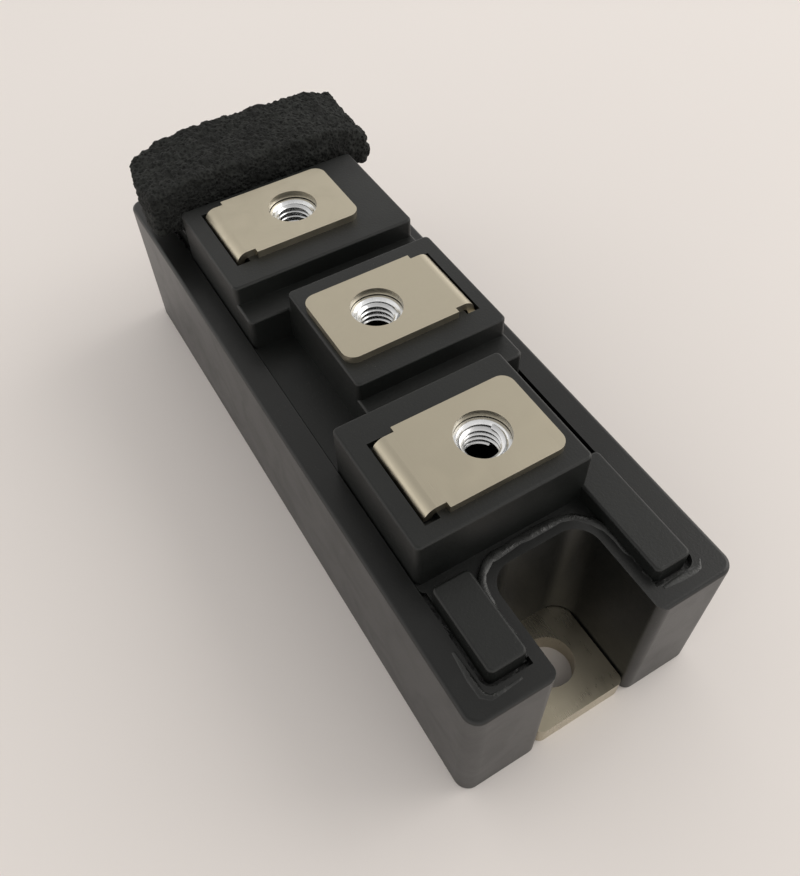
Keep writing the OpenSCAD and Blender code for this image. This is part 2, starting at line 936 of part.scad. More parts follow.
module emitter_tab(side) signal_tab(outer_tab_x, low_arm_z, outer_lead_x, side);

module gate_tab(side) signal_tab(inner_tab_x, high_arm_z, inner_lead_x, side);

module emitter_lead(side) signal_lead(outer_lead_x, low_arm_z, side * lead_end_x, aux_y, side);

module gate_lead(side) signal_lead(inner_lead_x, high_arm_z, side * lead_end_x, gate_y, side);

// Gel poured over the substrates, shaped by everything that stands in it
module gel() {
    color(clear_gel)
        difference() {
            union() {
                layer(case_floor_z, gel_z)
                    seat_area(ledge_w);
                layer(plate_t, case_floor_z)
                    intersection() {
                        seat_area(ledge_w);
                        plate_area(0);
                    }
            }
            for (far = [false, true]) {
                plate_solder(far);
                copper_back(far);
                ceramic(far);
                copper_front(far);
                chip_solder(far);
                igbt_chip(far);
                diode_chip(far);
                bond_wires(far);
            }
            plain_terminal(-terminal_pitch);
            forked_terminal();
            plain_terminal(terminal_pitch);
            for (side = [-1, 1]) {
                emitter_tab(side);
                gate_tab(side);
                emitter_lead(side);
                gate_lead(side);
            }
        }
}

case();
lid();
base_plate();
foam_block();
lid_seal();
base_seal();
gel();
plain_terminal(-terminal_pitch);  // terminal_far
forked_terminal();  // terminal_middle
plain_terminal(terminal_pitch);  // terminal_near
nut(-terminal_pitch);  // nut_far
nut(0);  // nut_middle
nut(terminal_pitch);  // nut_near
emitter_tab(-1);  // emitter_tab_left
gate_tab(-1);  // gate_tab_left
emitter_tab(1);  // emitter_tab_right
gate_tab(1);  // gate_tab_right
emitter_lead(-1);  // emitter_lead_left
gate_lead(-1);  // gate_lead_left
emitter_lead(1);  // emitter_lead_right
gate_lead(1);  // gate_lead_right
plate_solder(true);  // plate_solder_far
plate_solder(false);  // plate_solder_near
copper_back(true);  // copper_back_far
copper_back(false);  // copper_back_near
ceramic(true);  // ceramic_far
ceramic(false);  // ceramic_near
copper_front(true);  // copper_front_far
copper_front(false);  // copper_front_near
chip_solder(true);  // chip_solder_far
chip_solder(false);  // chip_solder_near
igbt_chip(true);  // igbt_chip_far
igbt_chip(false);  // igbt_chip_near
diode_chip(true);  // diode_chip_far
diode_chip(false);  // diode_chip_near
bond_wires(true);  // bond_wires_far
bond_wires(false);  // bond_wires_near
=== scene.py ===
"""Dresses the power module: finishes for every solid, threaded nuts, sealing beads, foam and stage."""

import math

import bpy
from bpy.props import FloatProperty, FloatVectorProperty, IntProperty, PointerProperty
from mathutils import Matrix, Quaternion, Vector, noise


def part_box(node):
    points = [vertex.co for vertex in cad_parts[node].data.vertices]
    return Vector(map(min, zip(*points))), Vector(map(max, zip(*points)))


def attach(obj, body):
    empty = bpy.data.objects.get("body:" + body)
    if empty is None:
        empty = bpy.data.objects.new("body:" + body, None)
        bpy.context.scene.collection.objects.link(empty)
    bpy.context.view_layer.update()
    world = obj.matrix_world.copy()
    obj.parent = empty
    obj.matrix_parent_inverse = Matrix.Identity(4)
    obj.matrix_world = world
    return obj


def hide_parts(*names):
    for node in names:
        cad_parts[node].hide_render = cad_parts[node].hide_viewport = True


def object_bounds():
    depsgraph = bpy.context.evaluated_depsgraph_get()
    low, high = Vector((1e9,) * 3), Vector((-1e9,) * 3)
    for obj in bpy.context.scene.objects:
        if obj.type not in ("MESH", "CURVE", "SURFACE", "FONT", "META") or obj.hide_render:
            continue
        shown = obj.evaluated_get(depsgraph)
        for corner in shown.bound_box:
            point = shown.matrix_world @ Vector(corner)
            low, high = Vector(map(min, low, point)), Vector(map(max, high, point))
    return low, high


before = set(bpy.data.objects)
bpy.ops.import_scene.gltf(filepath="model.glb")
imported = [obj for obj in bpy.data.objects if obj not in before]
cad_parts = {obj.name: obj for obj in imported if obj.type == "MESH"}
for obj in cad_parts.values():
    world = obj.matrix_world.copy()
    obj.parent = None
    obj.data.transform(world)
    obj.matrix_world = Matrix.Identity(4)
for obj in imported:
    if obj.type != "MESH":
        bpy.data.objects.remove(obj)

bl_info = {
    "name": "Power module dressing",
    "version": (1, 0, 0),
    "blender": (4, 5, 0),
    "location": "View3D > Sidebar > Module",
    "description": "Finishes a moulded power module and sets it on a pale floor",
    "category": "Object",
}

MM = 0.001
BODY = "root"
CAD_LOW, CAD_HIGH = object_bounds()
RIM_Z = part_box("case")[1].z
FOAM_LOW, FOAM_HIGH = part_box("foam_block")
NUT_NODES = ("nut_far", "nut_middle", "nut_near")
TERMINAL_NODES = ("terminal_far", "terminal_middle", "terminal_near")
TAB_NODES = ("emitter_tab_left", "gate_tab_left", "emitter_tab_right", "gate_tab_right")
LEAD_NODES = ("emitter_lead_left", "gate_lead_left", "emitter_lead_right", "gate_lead_right")

# Middle lines of the adhesive squeezed out on the rim beside the near pads, in millimetres
SMEARS = {
    "squeeze_out_left": (
        (39.4, -14.2), (42.7, -14.3), (44.5, -14.2), (45.2, -13.6), (45.3, -12.2), (45.1, -9.8),
    ),
    "squeeze_out_right": ((44.9, 8.6), (44.9, 10.6), (45.0, 12.6), (44.9, 13.4), (44.2, 14.1)),
}

# Inner radius of the nuts' thread
THREAD_CREST = 2.1 * MM

# What the camera looks at, in millimetres, and the side light's place and size, in metres
LOOK_AT = (8.84, -2.30, 15.0)
LAMP_PLACE = (0.15, 1.2, 0.885)
LAMP_SIZE = 1.2


# ---------------------------------------------------------------- settings


def colour(name, description, default):
    """A colour that a user can pick, kept as linear red, green and blue."""
    return FloatVectorProperty(
        name=name, description=description, default=default, subtype="COLOR", size=3, min=0, max=1
    )


def length(name, description, default_mm):
    """A length that a user can set, kept in metres."""
    return FloatProperty(
        name=name, description=description, default=default_mm * MM, unit="LENGTH", precision=5, min=0
    )


def factor(name, description, default):
    """A plain share between 0 and 1."""
    return FloatProperty(
        name=name, description=description, default=default, subtype="FACTOR", min=0, max=1
    )


class ModuleColours(bpy.types.PropertyGroup):
    case: colour("Case", "Charcoal of the moulded case", (0.0054, 0.0058, 0.0054))
    lid: colour("Lid", "Charcoal of the moulded lid", (0.0046, 0.0054, 0.0048))
    dust: colour("Dust", "Pale dust and flash", (0.34, 0.335, 0.32))
    nickel: colour("Nickel", "Satin nickel plating", (0.50, 0.455, 0.355))
    zinc: colour("Zinc", "Bright zinc plating", (0.80, 0.81, 0.82))
    foam: colour("Foam", "Black open foam", (0.0075, 0.0080, 0.0073))
    adhesive: colour("Adhesive", "Cured black adhesive", (0.011, 0.0115, 0.011))
    floor: colour("Floor", "Pale table top", (0.79, 0.745, 0.715))


class NutSettings(bpy.types.PropertyGroup):
    pitch: length("Thread pitch", "Rise of the thread in one turn", 0.8)
    depth: length("Thread depth", "Height of the thread from root to crest", 0.42)
    facets: IntProperty(
        name="Facets", description="Steps in one turn of the thread", default=56, min=24, max=96
    )


class FoamSettings(bpy.types.PropertyGroup):
    cell: length("Cell size", "Size of the open cells in the cut faces", 0.75)
    pit: length("Pit depth", "Depth of the cells in the cut faces", 0.42)
    swell: length("Swell", "Slow waves in the cut faces", 0.6)
    crown: length("Crown", "Height of the middle of the block above its nominal height", 1.2)
    voxel: length("Grid", "Size of the mesh the foam is worked in", 0.24)


class SealSettings(bpy.types.PropertyGroup):
    bead: length("Bead radius", "Half width of the sealing bead round the notch", 0.78)
    smear: length("Smear radius", "Half width of the adhesive squeezed out on the rim", 0.55)
    lumps: length("Lumps", "Unevenness of the beads", 0.2)


class StageSettings(bpy.types.PropertyGroup):
    azimuth: FloatProperty(
        name="Azimuth", description="Camera direction round the module, in degrees", default=60.55
    )
    elevation: FloatProperty(name="Elevation", description="Camera height, in degrees", default=52.74)
    roll: FloatProperty(name="Roll", description="Camera tilt, in degrees", default=-1.77)
    distance: length("Distance", "Camera distance from the point it looks at", 111.04)
    lens: FloatProperty(
        name="Lens", description="Focal length on a 36 mm sensor, in millimetres", default=35.18
    )
    zenith: factor("Zenith", "Strength of the light from straight above", 0.48)
    horizon: FloatProperty(name="Horizon", description="Strength of the light from the sides", default=1.48)
    key: FloatProperty(name="Key light", description="Power of the large side light, in watts", default=8.6)


SETTINGS = {
    "module_colours": ModuleColours,
    "module_nuts": NutSettings,
    "module_foam": FoamSettings,
    "module_seal": SealSettings,
    "module_stage": StageSettings,
}


# ---------------------------------------------------------------- shader building


class Tree:
    """A short way to add and join shader nodes."""

    def __init__(self, tree):
        self.tree = tree
        self.count = 0

    def add(self, kind, inputs=None, **attributes):
        node = self.tree.nodes.new(kind)
        node.location = (220 * (self.count % 8), -260 * (self.count // 8))
        self.count += 1
        for name, value in attributes.items():
            setattr(node, name, value)
        for socket, value in (inputs or {}).items():
            self.feed(node.inputs[socket], value)
        return node

    def feed(self, socket, value):
        if isinstance(value, bpy.types.NodeSocket):
            self.tree.links.new(value, socket)
        elif isinstance(value, (tuple, list)) and len(value) == 3 and socket.type == "RGBA":
            socket.default_value = (*value, 1.0)
        else:
            socket.default_value = value

    def math(self, operation, a, b=0.0, clamp=False):
        node = self.add("ShaderNodeMath", {0: a, 1: b}, operation=operation, use_clamp=clamp)
        return node.outputs[0]

    def ramp(self, value, low, high, to_low=0.0, to_high=1.0):
        node = self.add(
            "ShaderNodeMapRange",
            {"Value": value, "From Min": low, "From Max": high, "To Min": to_low, "To Max": to_high},
            clamp=True,
        )
        return node.outputs["Result"]

    def mix(self, share, a, b):
        node = self.add("ShaderNodeMix", {0: share, 6: a, 7: b}, data_type="RGBA", clamp_factor=True)
        return node.outputs[2]

    def noise(self, vector, scale, detail=2.0, roughness=0.5, distortion=0.0):
        node = self.add(
            "ShaderNodeTexNoise",
            {
                "Vector": vector, "Scale": scale, "Detail": detail,
                "Roughness": roughness, "Distortion": distortion,
            },
        )
        return node.outputs["Fac"]

    def stretched(self, vector, scale, turn=(0.0, 0.0, 0.0)):
        node = self.add("ShaderNodeMapping", {"Vector": vector, "Rotation": turn, "Scale": scale})
        return node.outputs["Vector"]


def new_group(name, inputs, outputs):
    """An empty shader group with named sockets. Returns the group, its tree, and its two end nodes."""
    group = bpy.data.node_groups.new(name, "ShaderNodeTree")
    for label, kind, default in inputs:
        socket = group.interface.new_socket(label, in_out="INPUT", socket_type=kind)
        if default is not None:
            socket.default_value = default
    for label, kind in outputs:
        group.interface.new_socket(label, in_out="OUTPUT", socket_type=kind)
    tree = Tree(group)
    return group, tree, tree.add("NodeGroupInput"), tree.add("NodeGroupOutput")


def grain_group():
    """Fine spark-eroded grain of a mould, with slow unevenness under it."""
    group, tree, ends, out = new_group(
        "Mould grain",
        [
            ("Vector", "NodeSocketVector", None),
            ("Grain scale", "NodeSocketFloat", 4200.0),
            ("Waviness", "NodeSocketFloat", 0.35),
        ],
        [("Height", "NodeSocketFloat"), ("Shade", "NodeSocketFloat")],
    )
    vector = ends.outputs["Vector"]
    fine = tree.noise(vector, ends.outputs["Grain scale"], 3.0, 0.6)
    slow = tree.noise(vector, 95.0, 3.0, 0.55, 0.4)
    waves = tree.math("MULTIPLY", slow, ends.outputs["Waviness"])
    tree.feed(out.inputs["Height"], tree.math("ADD", fine, waves))
    tree.feed(out.inputs["Shade"], tree.ramp(slow, 0.3, 0.7))
    return group


def scratch_group():
    """Sparse hairline scratches in two directions."""
    group, tree, ends, out = new_group(
        "Hairline scratches",
        [("Vector", "NodeSocketVector", None), ("Amount", "NodeSocketFloat", 0.5)],
        [("Mask", "NodeSocketFloat")],
    )
    lines = []
    for turn, scale in ((0.35, (90.0, 3800.0, 900.0)), (-1.1, (110.0, 3100.0, 900.0))):
        vector = tree.stretched(ends.outputs["Vector"], scale, (0.0, 0.0, turn))
        streak = tree.noise(vector, 1.0, 1.0, 0.4, 0.35)
        lines.append(tree.ramp(streak, 0.72, 0.78))
    both = tree.math("MAXIMUM", lines[0], lines[1])
    patches = tree.ramp(tree.noise(ends.outputs["Vector"], 130.0), 0.42, 0.62)
    kept = tree.math("MULTIPLY", both, patches)
    tree.feed(out.inputs["Mask"], tree.math("MULTIPLY", kept, ends.outputs["Amount"]))
    return group


def speck_group():
    """Scattered pale specks of dust and lint."""
    group, tree, ends, out = new_group(
        "Dust specks",
        [
            ("Vector", "NodeSocketVector", None),
            ("Scale", "NodeSocketFloat", 900.0),
            ("Share", "NodeSocketFloat", 0.12),
        ],
        [("Mask", "NodeSocketFloat")],
    )
    ragged = tree.add("ShaderNodeTexNoise", {"Vector": ends.outputs["Vector"], "Scale": 2600.0})
    bent = tree.add(
        "ShaderNodeVectorMath",
        {0: ends.outputs["Vector"], 1: ragged.outputs["Color"], 2: (0.0003, 0.0003, 0.0003)},
        operation="MULTIPLY_ADD",
    )
    cells = tree.add(
        "ShaderNodeTexVoronoi", {"Vector": bent.outputs[0], "Scale": ends.outputs["Scale"]}, feature="F1"
    )
    parts = tree.add("ShaderNodeSeparateColor", {0: cells.outputs["Color"]})
    chosen = tree.math("LESS_THAN", parts.outputs[0], ends.outputs["Share"])
    size = tree.math("MULTIPLY", parts.outputs[1], 0.16)
    inside = tree.math("LESS_THAN", cells.outputs["Distance"], size)
    tree.feed(out.inputs["Mask"], tree.math("MULTIPLY", chosen, inside))
    return group


def edge_group():
    """Edge mask for rubbing wear plus a painted highlight: where a softened normal leaves the true one,
    broken up by noise.
    """
    group, tree, ends, out = new_group(
        "Rubbed edges and painted highlight",
        [
            ("Vector", "NodeSocketVector", None),
            ("Width", "NodeSocketFloat", 0.00035),
            ("Breakup", "NodeSocketFloat", 700.0),
        ],
        [("Mask", "NodeSocketFloat")],
    )
    soft = tree.add("ShaderNodeBevel", {"Radius": ends.outputs["Width"]}, samples=4)
    true = tree.add("ShaderNodeNewGeometry")
    dot = tree.add(
        "ShaderNodeVectorMath",
        {0: soft.outputs["Normal"], 1: true.outputs["Normal"]},
        operation="DOT_PRODUCT",
    )
    turned = tree.ramp(dot.outputs["Value"], 0.995, 0.86)
    broken = tree.ramp(tree.noise(ends.outputs["Vector"], ends.outputs["Breakup"], 3.0, 0.6), 0.38, 0.66)
    tree.feed(out.inputs["Mask"], tree.math("MULTIPLY", turned, broken))
    return group


def smudge_group():
    """Soft handling marks that change how a surface shines."""
    group, tree, ends, out = new_group(
        "Handling marks",
        [("Vector", "NodeSocketVector", None), ("Scale", "NodeSocketFloat", 160.0)],
        [("Mask", "NodeSocketFloat")],
    )
    wide = tree.noise(ends.outputs["Vector"], ends.outputs["Scale"], 4.0, 0.6, 0.8)
    tree.feed(out.inputs["Mask"], tree.ramp(wide, 0.42, 0.68))
    return group


GROUPS = {}


def effect(tree, name, **inputs):
    """Places one of the shared effects in a material and returns its node."""
    makers = {
        "grain": grain_group,
        "scratches": scratch_group,
        "specks": speck_group,
        "edges": edge_group,
        "smudges": smudge_group,
    }
    if name not in GROUPS:
        GROUPS[name] = makers[name]()
    node = tree.add("ShaderNodeGroup", node_tree=GROUPS[name])
    for label, value in inputs.items():
        tree.feed(node.inputs[label.replace("_", " ")], value)
    return node.outputs


def new_material(name, viewport):
    """A material with a bare Principled shader. Returns it, its tree, the shader and the coordinates."""
    material = bpy.data.materials.new(name)
    material.diffuse_color = (*viewport, 1.0)
    material.use_nodes = True
    material.node_tree.nodes.clear()
    tree = Tree(material.node_tree)
    place = tree.add("ShaderNodeTexCoord").outputs["Object"]
    shader = tree.add("ShaderNodeBsdfPrincipled")
    out = tree.add("ShaderNodeOutputMaterial")
    tree.feed(out.inputs["Surface"], shader.outputs["BSDF"])
    return material, tree, shader, place


def bump(tree, shader, height, distance, strength=1.0):
    node = tree.add("ShaderNodeBump", {"Height": height, "Distance": distance, "Strength": strength})
    tree.feed(shader.inputs["Normal"], node.outputs["Normal"])


def plastic(name, base, dust, roughness, grain_scale, grain_height, edge_wear_and_highlight):
    """Moulded thermoset: charcoal, finely grained, paler along its edges from rubbing plus a painted
    highlight, and lightly dusted.
    """
    material, tree, shader, place = new_material(name, base)
    grain = effect(tree, "grain", Vector=place, Grain_scale=grain_scale)
    smudges = effect(tree, "smudges", Vector=place)["Mask"]
    specks = effect(tree, "specks", Vector=place)["Mask"]
    edges = effect(tree, "edges", Vector=place)["Mask"]
    scratches = effect(tree, "scratches", Vector=place)["Mask"]
    darker = tuple(0.82 * c for c in base)
    lighter = tuple(min(1.0, 1.25 * c) for c in base)
    shade = tree.mix(grain["Shade"], darker, lighter)
    marked = tree.mix(tree.math("MULTIPLY", scratches, 0.25), shade, tuple(3.0 * c for c in base))
    # Paler edges: part rubbing wear, part a painted highlight where the edges catch light
    retouched = tree.mix(tree.math("MULTIPLY", edges, edge_wear_and_highlight), marked, tuple(5.0 * c for c in base))
    tree.feed(shader.inputs["Base Color"], tree.mix(tree.math("MULTIPLY", specks, 0.55), retouched, dust))
    sheen = tree.ramp(smudges, 0.0, 1.0, roughness - 0.02, roughness + 0.03)
    tree.feed(shader.inputs["Roughness"], tree.math("ADD", sheen, tree.math("MULTIPLY", specks, 0.3)))
    shader.inputs["IOR"].default_value = 1.45
    bump(tree, shader, grain["Height"], grain_height)
    return material


def plated_metal(name, base, roughness, streaks, stain, turn=0.0, spots=0.5):
    """Plated strip: faint rolling lines, handling marks, hairlines, and edges made paler by rubbing plus a
    painted highlight.
    """
    material, tree, shader, place = new_material(name, base)
    rolled = tree.stretched(place, (160.0, 5200.0, 2400.0), (0.0, 0.0, turn))
    lines = tree.noise(rolled, 1.0, 3.0, 0.55)
    smudges = effect(tree, "smudges", Vector=place, Scale=210.0)["Mask"]
    scratches = effect(tree, "scratches", Vector=place, Amount=0.8)["Mask"]
    edges = effect(tree, "edges", Vector=place, Width=0.0002)["Mask"]
    specks = effect(tree, "specks", Vector=place, Scale=1300.0, Share=0.06)["Mask"]
    cloud = tree.ramp(tree.noise(place, 70.0, 3.0, 0.55), 0.3, 0.72)
    tinted = tree.mix(tree.math("MULTIPLY", cloud, 0.35), base, stain)
    dulled = tree.mix(tree.math("MULTIPLY", smudges, 0.18), tinted, tuple(0.8 * c for c in base))
    # Paler edges: part rubbing wear, part a painted highlight on the metal's edges
    bright = tree.mix(tree.math("MULTIPLY", edges, 0.5), dulled, tuple(min(1.0, 1.18 * c) for c in base))
    dotted = tree.mix(tree.math("MULTIPLY", specks, spots), bright, tuple(0.35 * c for c in base))
    tree.feed(shader.inputs["Base Color"], dotted)
    shader.inputs["Metallic"].default_value = 1.0
    retouched = tree.ramp(smudges, 0.0, 1.0, roughness, roughness + 0.1)
    streaked = tree.math("ADD", retouched, tree.ramp(lines, 0.3, 0.7, -streaks, streaks))
    cut = tree.math("MULTIPLY", scratches, 0.08)
    tree.feed(shader.inputs["Roughness"], tree.math("SUBTRACT", streaked, cut))
    height = tree.math("SUBTRACT", lines, tree.math("MULTIPLY", scratches, 1.5))
    bump(tree, shader, height, 0.004 * MM)
    return material


def adhesive(name, base):
    """Cured sealing compound: glossy, with slow lumps, pinholes and duller patches."""
    material, tree, shader, place = new_material(name, base)
    lumps = tree.noise(place, 900.0, 3.0, 0.55, 0.5)
    fine = tree.noise(place, 4200.0, 2.0, 0.6)
    patches = tree.ramp(tree.noise(place, 240.0, 3.0, 0.6), 0.4, 0.65)
    pale = tuple(min(1.0, 2.2 * c) for c in base)
    tree.feed(shader.inputs["Base Color"], tree.mix(patches, base, pale))
    tree.feed(shader.inputs["Roughness"], tree.ramp(patches, 0.0, 1.0, 0.2, 0.42))
    bump(tree, shader, tree.math("ADD", lumps, tree.math("MULTIPLY", fine, 0.2)), 0.12 * MM)
    return material


def open_foam(name, base):
    """Open-cell foam: cell hollows darkened as painted shade, with a slightly paler skeleton between them.
    """
    material, tree, shader, place = new_material(name, base)
    cells = tree.add(
        "ShaderNodeTexVoronoi", {"Vector": place, "Scale": 2100.0, "Randomness": 1.0}, feature="F1"
    )
    grit = tree.noise(place, 3600.0, 4.0, 0.7)
    blotch = tree.noise(place, 330.0, 4.0, 0.6)
    open_cell = tree.ramp(cells.outputs["Distance"], 0.15, 0.62)
    # Painted shade: the cell hollows are darkened, and the rims between them are kept paler
    painted_cell_shade = tuple(0.3 * c for c in base)
    pale = tuple(min(1.0, 3.1 * c) for c in base)
    web = tree.mix(open_cell, painted_cell_shade, pale)
    tree.feed(shader.inputs["Base Color"], tree.mix(tree.ramp(blotch, 0.35, 0.7), web, base))
    tree.feed(shader.inputs["Roughness"], tree.ramp(grit, 0.3, 0.7, 0.75, 0.98))
    shader.inputs["Specular IOR Level"].default_value = 0.3
    height = tree.math("ADD", open_cell, tree.math("MULTIPLY", grit, 0.6))
    bump(tree, shader, height, 0.22 * MM)
    return material


def foil(name, base, roughness, metallic):
    """Plain inner finish with fine grain and cloudy tone: foil, solder, chip or fired ceramic."""
    material, tree, shader, place = new_material(name, base)
    grain = effect(tree, "grain", Vector=place, Grain_scale=3000.0)
    smudges = effect(tree, "smudges", Vector=place, Scale=300.0)["Mask"]
    tone = tree.mix(grain["Shade"], tuple(0.86 * c for c in base), tuple(min(1.0, 1.1 * c) for c in base))
    tree.feed(shader.inputs["Base Color"], tone)
    shader.inputs["Metallic"].default_value = metallic
    tree.feed(shader.inputs["Roughness"], tree.ramp(smudges, 0.0, 1.0, roughness, roughness + 0.12))
    bump(tree, shader, grain["Height"], 0.006 * MM)
    return material


def silicone(name):
    """Clear soft gel with a faint cloudy tone."""
    material, tree, shader, place = new_material(name, (0.8, 0.83, 0.83))
    cloud = tree.ramp(tree.noise(place, 220.0, 3.0, 0.6), 0.3, 0.7)
    tree.feed(shader.inputs["Base Color"], tree.mix(cloud, (0.78, 0.82, 0.82), (0.9, 0.92, 0.91)))
    tree.feed(shader.inputs["Roughness"], tree.ramp(cloud, 0.0, 1.0, 0.08, 0.2))
    shader.inputs["Transmission Weight"].default_value = 0.85
    shader.inputs["IOR"].default_value = 1.41
    bump(tree, shader, cloud, 0.02 * MM)
    return material


def dress(node, material):
    """Gives a CAD solid its finish."""
    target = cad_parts[node]
    target.data.materials.clear()
    target.data.materials.append(material)


# ---------------------------------------------------------------- modelling helpers


def clear_selection():
    if bpy.context.object and bpy.context.object.mode != "OBJECT":
        bpy.ops.object.mode_set(mode="OBJECT")
    bpy.ops.object.select_all(action="DESELECT")


def only(piece):
    clear_selection()
    piece.select_set(True)
    bpy.context.view_layer.objects.active = piece


def settle(piece, name):
    """Puts the piece's place and turn into its mesh, and names both."""
    only(piece)
    bpy.ops.object.transform_apply(location=True, rotation=True, scale=True)
    piece.name = name
    piece.data.name = name
    return piece


def box_piece(name, low, high):
    clear_selection()
    low, high = Vector(low), Vector(high)
    bpy.ops.mesh.primitive_cube_add(size=1.0, location=(low + high) / 2)
    bpy.context.object.scale = high - low
    return settle(bpy.context.object, name)


def select_where(piece, test):
    """Leaves the piece in edit mode with the faces selected that pass a test."""
    only(piece)
    bpy.ops.object.mode_set(mode="EDIT")
    bpy.ops.mesh.select_mode(type="FACE")
    bpy.ops.mesh.select_all(action="DESELECT")
    bpy.ops.object.mode_set(mode="OBJECT")
    chosen = 0
    for face in piece.data.polygons:
        face.select = test(face)
        chosen += face.select
    if chosen == 0:
        raise RuntimeError(f"nothing was selected on {piece.name}")
    bpy.ops.object.mode_set(mode="EDIT")


def leave_edit():
    bpy.ops.object.mode_set(mode="OBJECT")


def apply_modifier(piece, kind, **settings):
    only(piece)
    modifier = piece.modifiers.new(kind.title(), kind)
    for name, value in settings.items():
        setattr(modifier, name, value)
    bpy.ops.object.modifier_apply(modifier=modifier.name)


def smooth(piece, degrees=40.0):
    only(piece)
    bpy.ops.object.shade_smooth_by_angle(angle=math.radians(degrees))


def finish_piece(piece, material):
    piece.data.materials.clear()
    piece.data.materials.append(material)
    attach(piece, BODY)
    return piece


def swept_bead(name, route, radius_at, flatten):
    """A bead that follows a route. radius_at gives its half width from the share of the way along."""
    clear_selection()
    bpy.ops.curve.primitive_nurbs_path_add()
    bead = bpy.context.object
    data = bead.data
    data.splines.clear()
    spline = data.splines.new("POLY")
    spline.points.add(len(route) - 1)
    for index, (point, place) in enumerate(zip(spline.points, route)):
        point.co = (place[0], place[1], place[2] / flatten, 1.0)
        point.radius = radius_at(index / max(1, len(route) - 1))
    data.dimensions = "3D"
    data.twist_mode = "Z_UP"
    data.bevel_depth = 1.0
    data.bevel_resolution = 3
    data.use_fill_caps = True
    bead.scale = (1.0, 1.0, flatten)
    only(bead)
    bpy.ops.object.convert(target="MESH")
    return settle(bpy.context.object, name)


def displace(piece, kind, size, strength, **settings):
    """Pushes the surface in and out along its normals by a procedural texture."""
    texture = bpy.data.textures.new(f"{piece.name}_{kind.lower()}", kind)
    texture.noise_scale = size
    for name, value in settings.items():
        setattr(texture, name, value)
    apply_modifier(
        piece, "DISPLACE", texture=texture, strength=strength, mid_level=0.5, texture_coords="LOCAL"
    )


# ---------------------------------------------------------------- finishes of the solids


class MODULE_OT_plastic_finish(bpy.types.Operator):
    """Finish the moulded case and lid"""

    bl_idname = "module.plastic_finish"
    bl_label = "Plastic finish"

    def execute(self, context):
        tint = context.scene.module_colours
        dust = tuple(tint.dust)
        case = plastic("Case plastic", tuple(tint.case), dust, 0.36, 3600.0, 0.014 * MM, 0.55)
        lid = plastic("Lid plastic", tuple(tint.lid), dust, 0.46, 3000.0, 0.022 * MM, 0.5)
        dress("case", case)
        dress("lid", lid)
        return {"FINISHED"}


class MODULE_OT_metal_finish(bpy.types.Operator):
    """Finish the base plate, the terminals and the signal tabs"""

    bl_idname = "module.metal_finish"
    bl_label = "Metal finish"

    def execute(self, context):
        tint = context.scene.module_colours
        nickel = tuple(tint.nickel)
        across = math.radians(90)
        strip = plated_metal("Terminal nickel", nickel, 0.32, 0.015, (0.47, 0.42, 0.32), across, 0.2)
        plate = plated_metal("Plate nickel", nickel, 0.28, 0.03, (0.48, 0.42, 0.30), 0.0, 0.4)
        for node in TERMINAL_NODES + TAB_NODES:
            dress(node, strip)
        dress("base_plate", plate)
        return {"FINISHED"}


class MODULE_OT_inner_finish(bpy.types.Operator):
    """Finish the substrates, chips, wires, leads and gel inside the case"""

    bl_idname = "module.inner_finish"
    bl_label = "Inner finish"

    def execute(self, context):
        copper = foil("Bare copper", (0.72, 0.36, 0.2), 0.28, 1.0)
        solder = foil("Cast solder", (0.55, 0.56, 0.57), 0.35, 1.0)
        silicon = foil("Metallised silicon", (0.42, 0.44, 0.47), 0.2, 1.0)
        wire = foil("Bond wire aluminium", (0.82, 0.82, 0.83), 0.25, 1.0)
        ceramic = foil("Fired ceramic", (0.82, 0.79, 0.72), 0.45, 0.0)
        sleeve = foil("Lead sleeve", (0.76, 0.73, 0.64), 0.4, 0.0)
        seal = adhesive("Plate adhesive", tuple(context.scene.module_colours.adhesive))
        gel = silicone("Silicone gel")
        for end in ("far", "near"):
            dress(f"copper_back_{end}", copper)
            dress(f"copper_front_{end}", copper)
            dress(f"plate_solder_{end}", solder)
            dress(f"chip_solder_{end}", solder)
            dress(f"ceramic_{end}", ceramic)
            dress(f"igbt_chip_{end}", silicon)
            dress(f"diode_chip_{end}", silicon)
            dress(f"bond_wires_{end}", wire)
        for node in LEAD_NODES:
            dress(node, sleeve)
        dress("base_seal", seal)
        dress("gel", gel)
        return {"FINISHED"}


# ---------------------------------------------------------------- nuts


